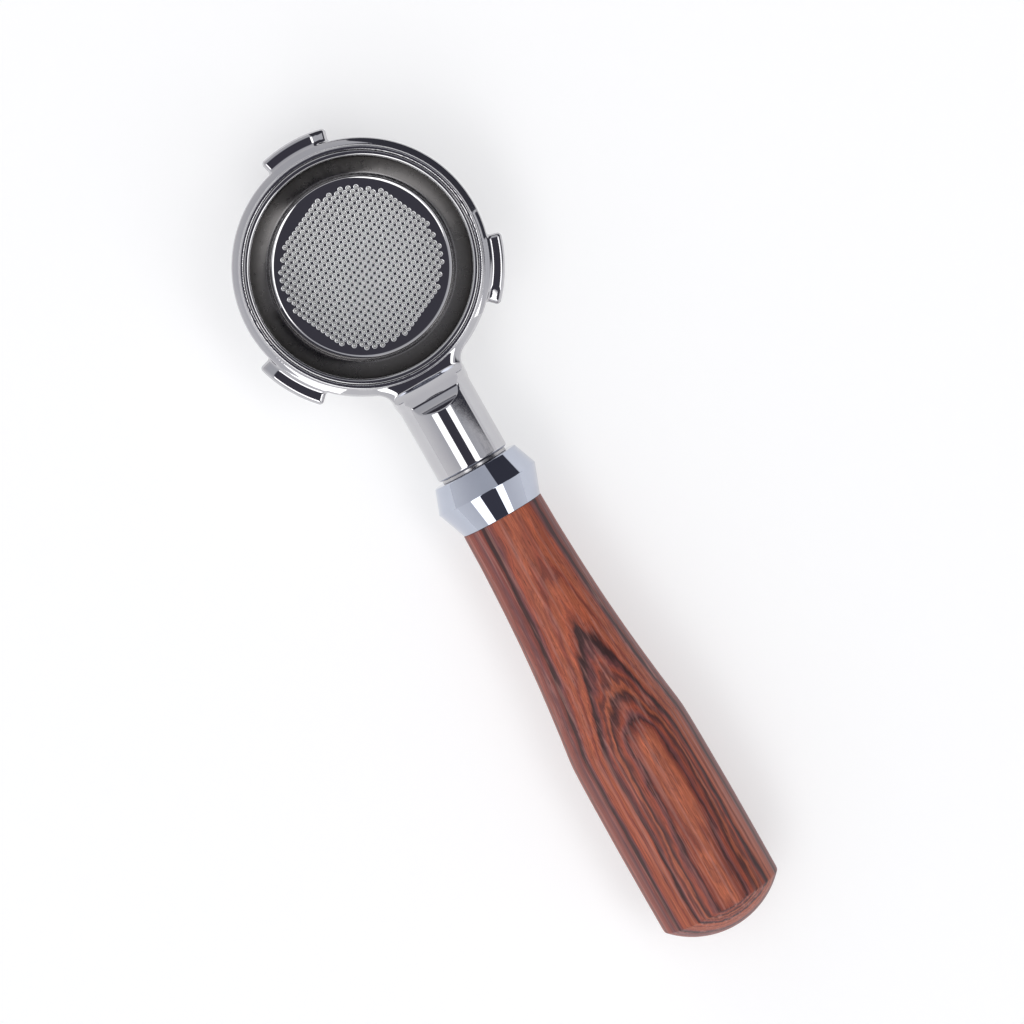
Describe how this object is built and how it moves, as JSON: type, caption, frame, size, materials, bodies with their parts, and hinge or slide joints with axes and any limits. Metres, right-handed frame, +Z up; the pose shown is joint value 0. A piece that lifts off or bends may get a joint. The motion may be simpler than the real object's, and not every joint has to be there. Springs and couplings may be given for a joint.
{
  "type": "portafilter",
  "caption": "Bottomless espresso portafilter with bayonet lugs, a lift-out perforated filter basket, a chrome ferrule and an unscrewing turned wooden handle.",
  "frame": {"origin": "centre of the outlet bore in the bowl's foot, in the plane of the foot rim that the part stands on", "axes": "+Z up along the bowl's axis, out of its mouth; +X from the bowl along the neck to the end of the handle; +Y to the left of the handle"},
  "size_m": [0.2201, 0.067, 0.0321],
  "materials": {
    "polished_steel": "polished cast and turned stainless steel",
    "basket_steel": "bright drawn stainless sheet",
    "spring_steel": "drawn spring wire",
    "spacer_steel": "turned steel",
    "ferrule_chrome": "bright chrome plate",
    "stud_steel": "zinc plated thread",
    "insert_brass": "turned brass",
    "rosewood": "satin lacquered rosewood"
  },
  "bodies": {
    "bowl": {"bowl_body": "polished_steel", "basket_spring": "spring_steel"},
    "basket": {"filter_basket": "basket_steel"},
    "collar": {"ferrule": "ferrule_chrome", "neck_spacer": "spacer_steel"},
    "handle": {"wood_handle": "rosewood", "threaded_insert": "insert_brass", "handle_stud": "stud_steel"}
  },
  "joints": [
    {"name": "basket_lift", "type": "slide", "parent": "bowl", "child": "basket", "axis": [0, 0, 1], "range_m": [0, 0.03]},
    {"name": "handle_back_off", "type": "slide", "parent": "bowl", "child": "collar", "axis": [1, 0, 0], "range_m": [0, 0.0105]},
    {"name": "handle_unscrew", "type": "hinge", "parent": "collar", "child": "handle", "pos_m": [0.06, 0, 0.0161], "axis": [1, 0, 0], "range_deg": [0, 2520]}
  ],
  "couplings": [
    {"joint": "handle_unscrew", "follows": "handle_back_off", "rad_per_m": 4188.8}
  ]
}
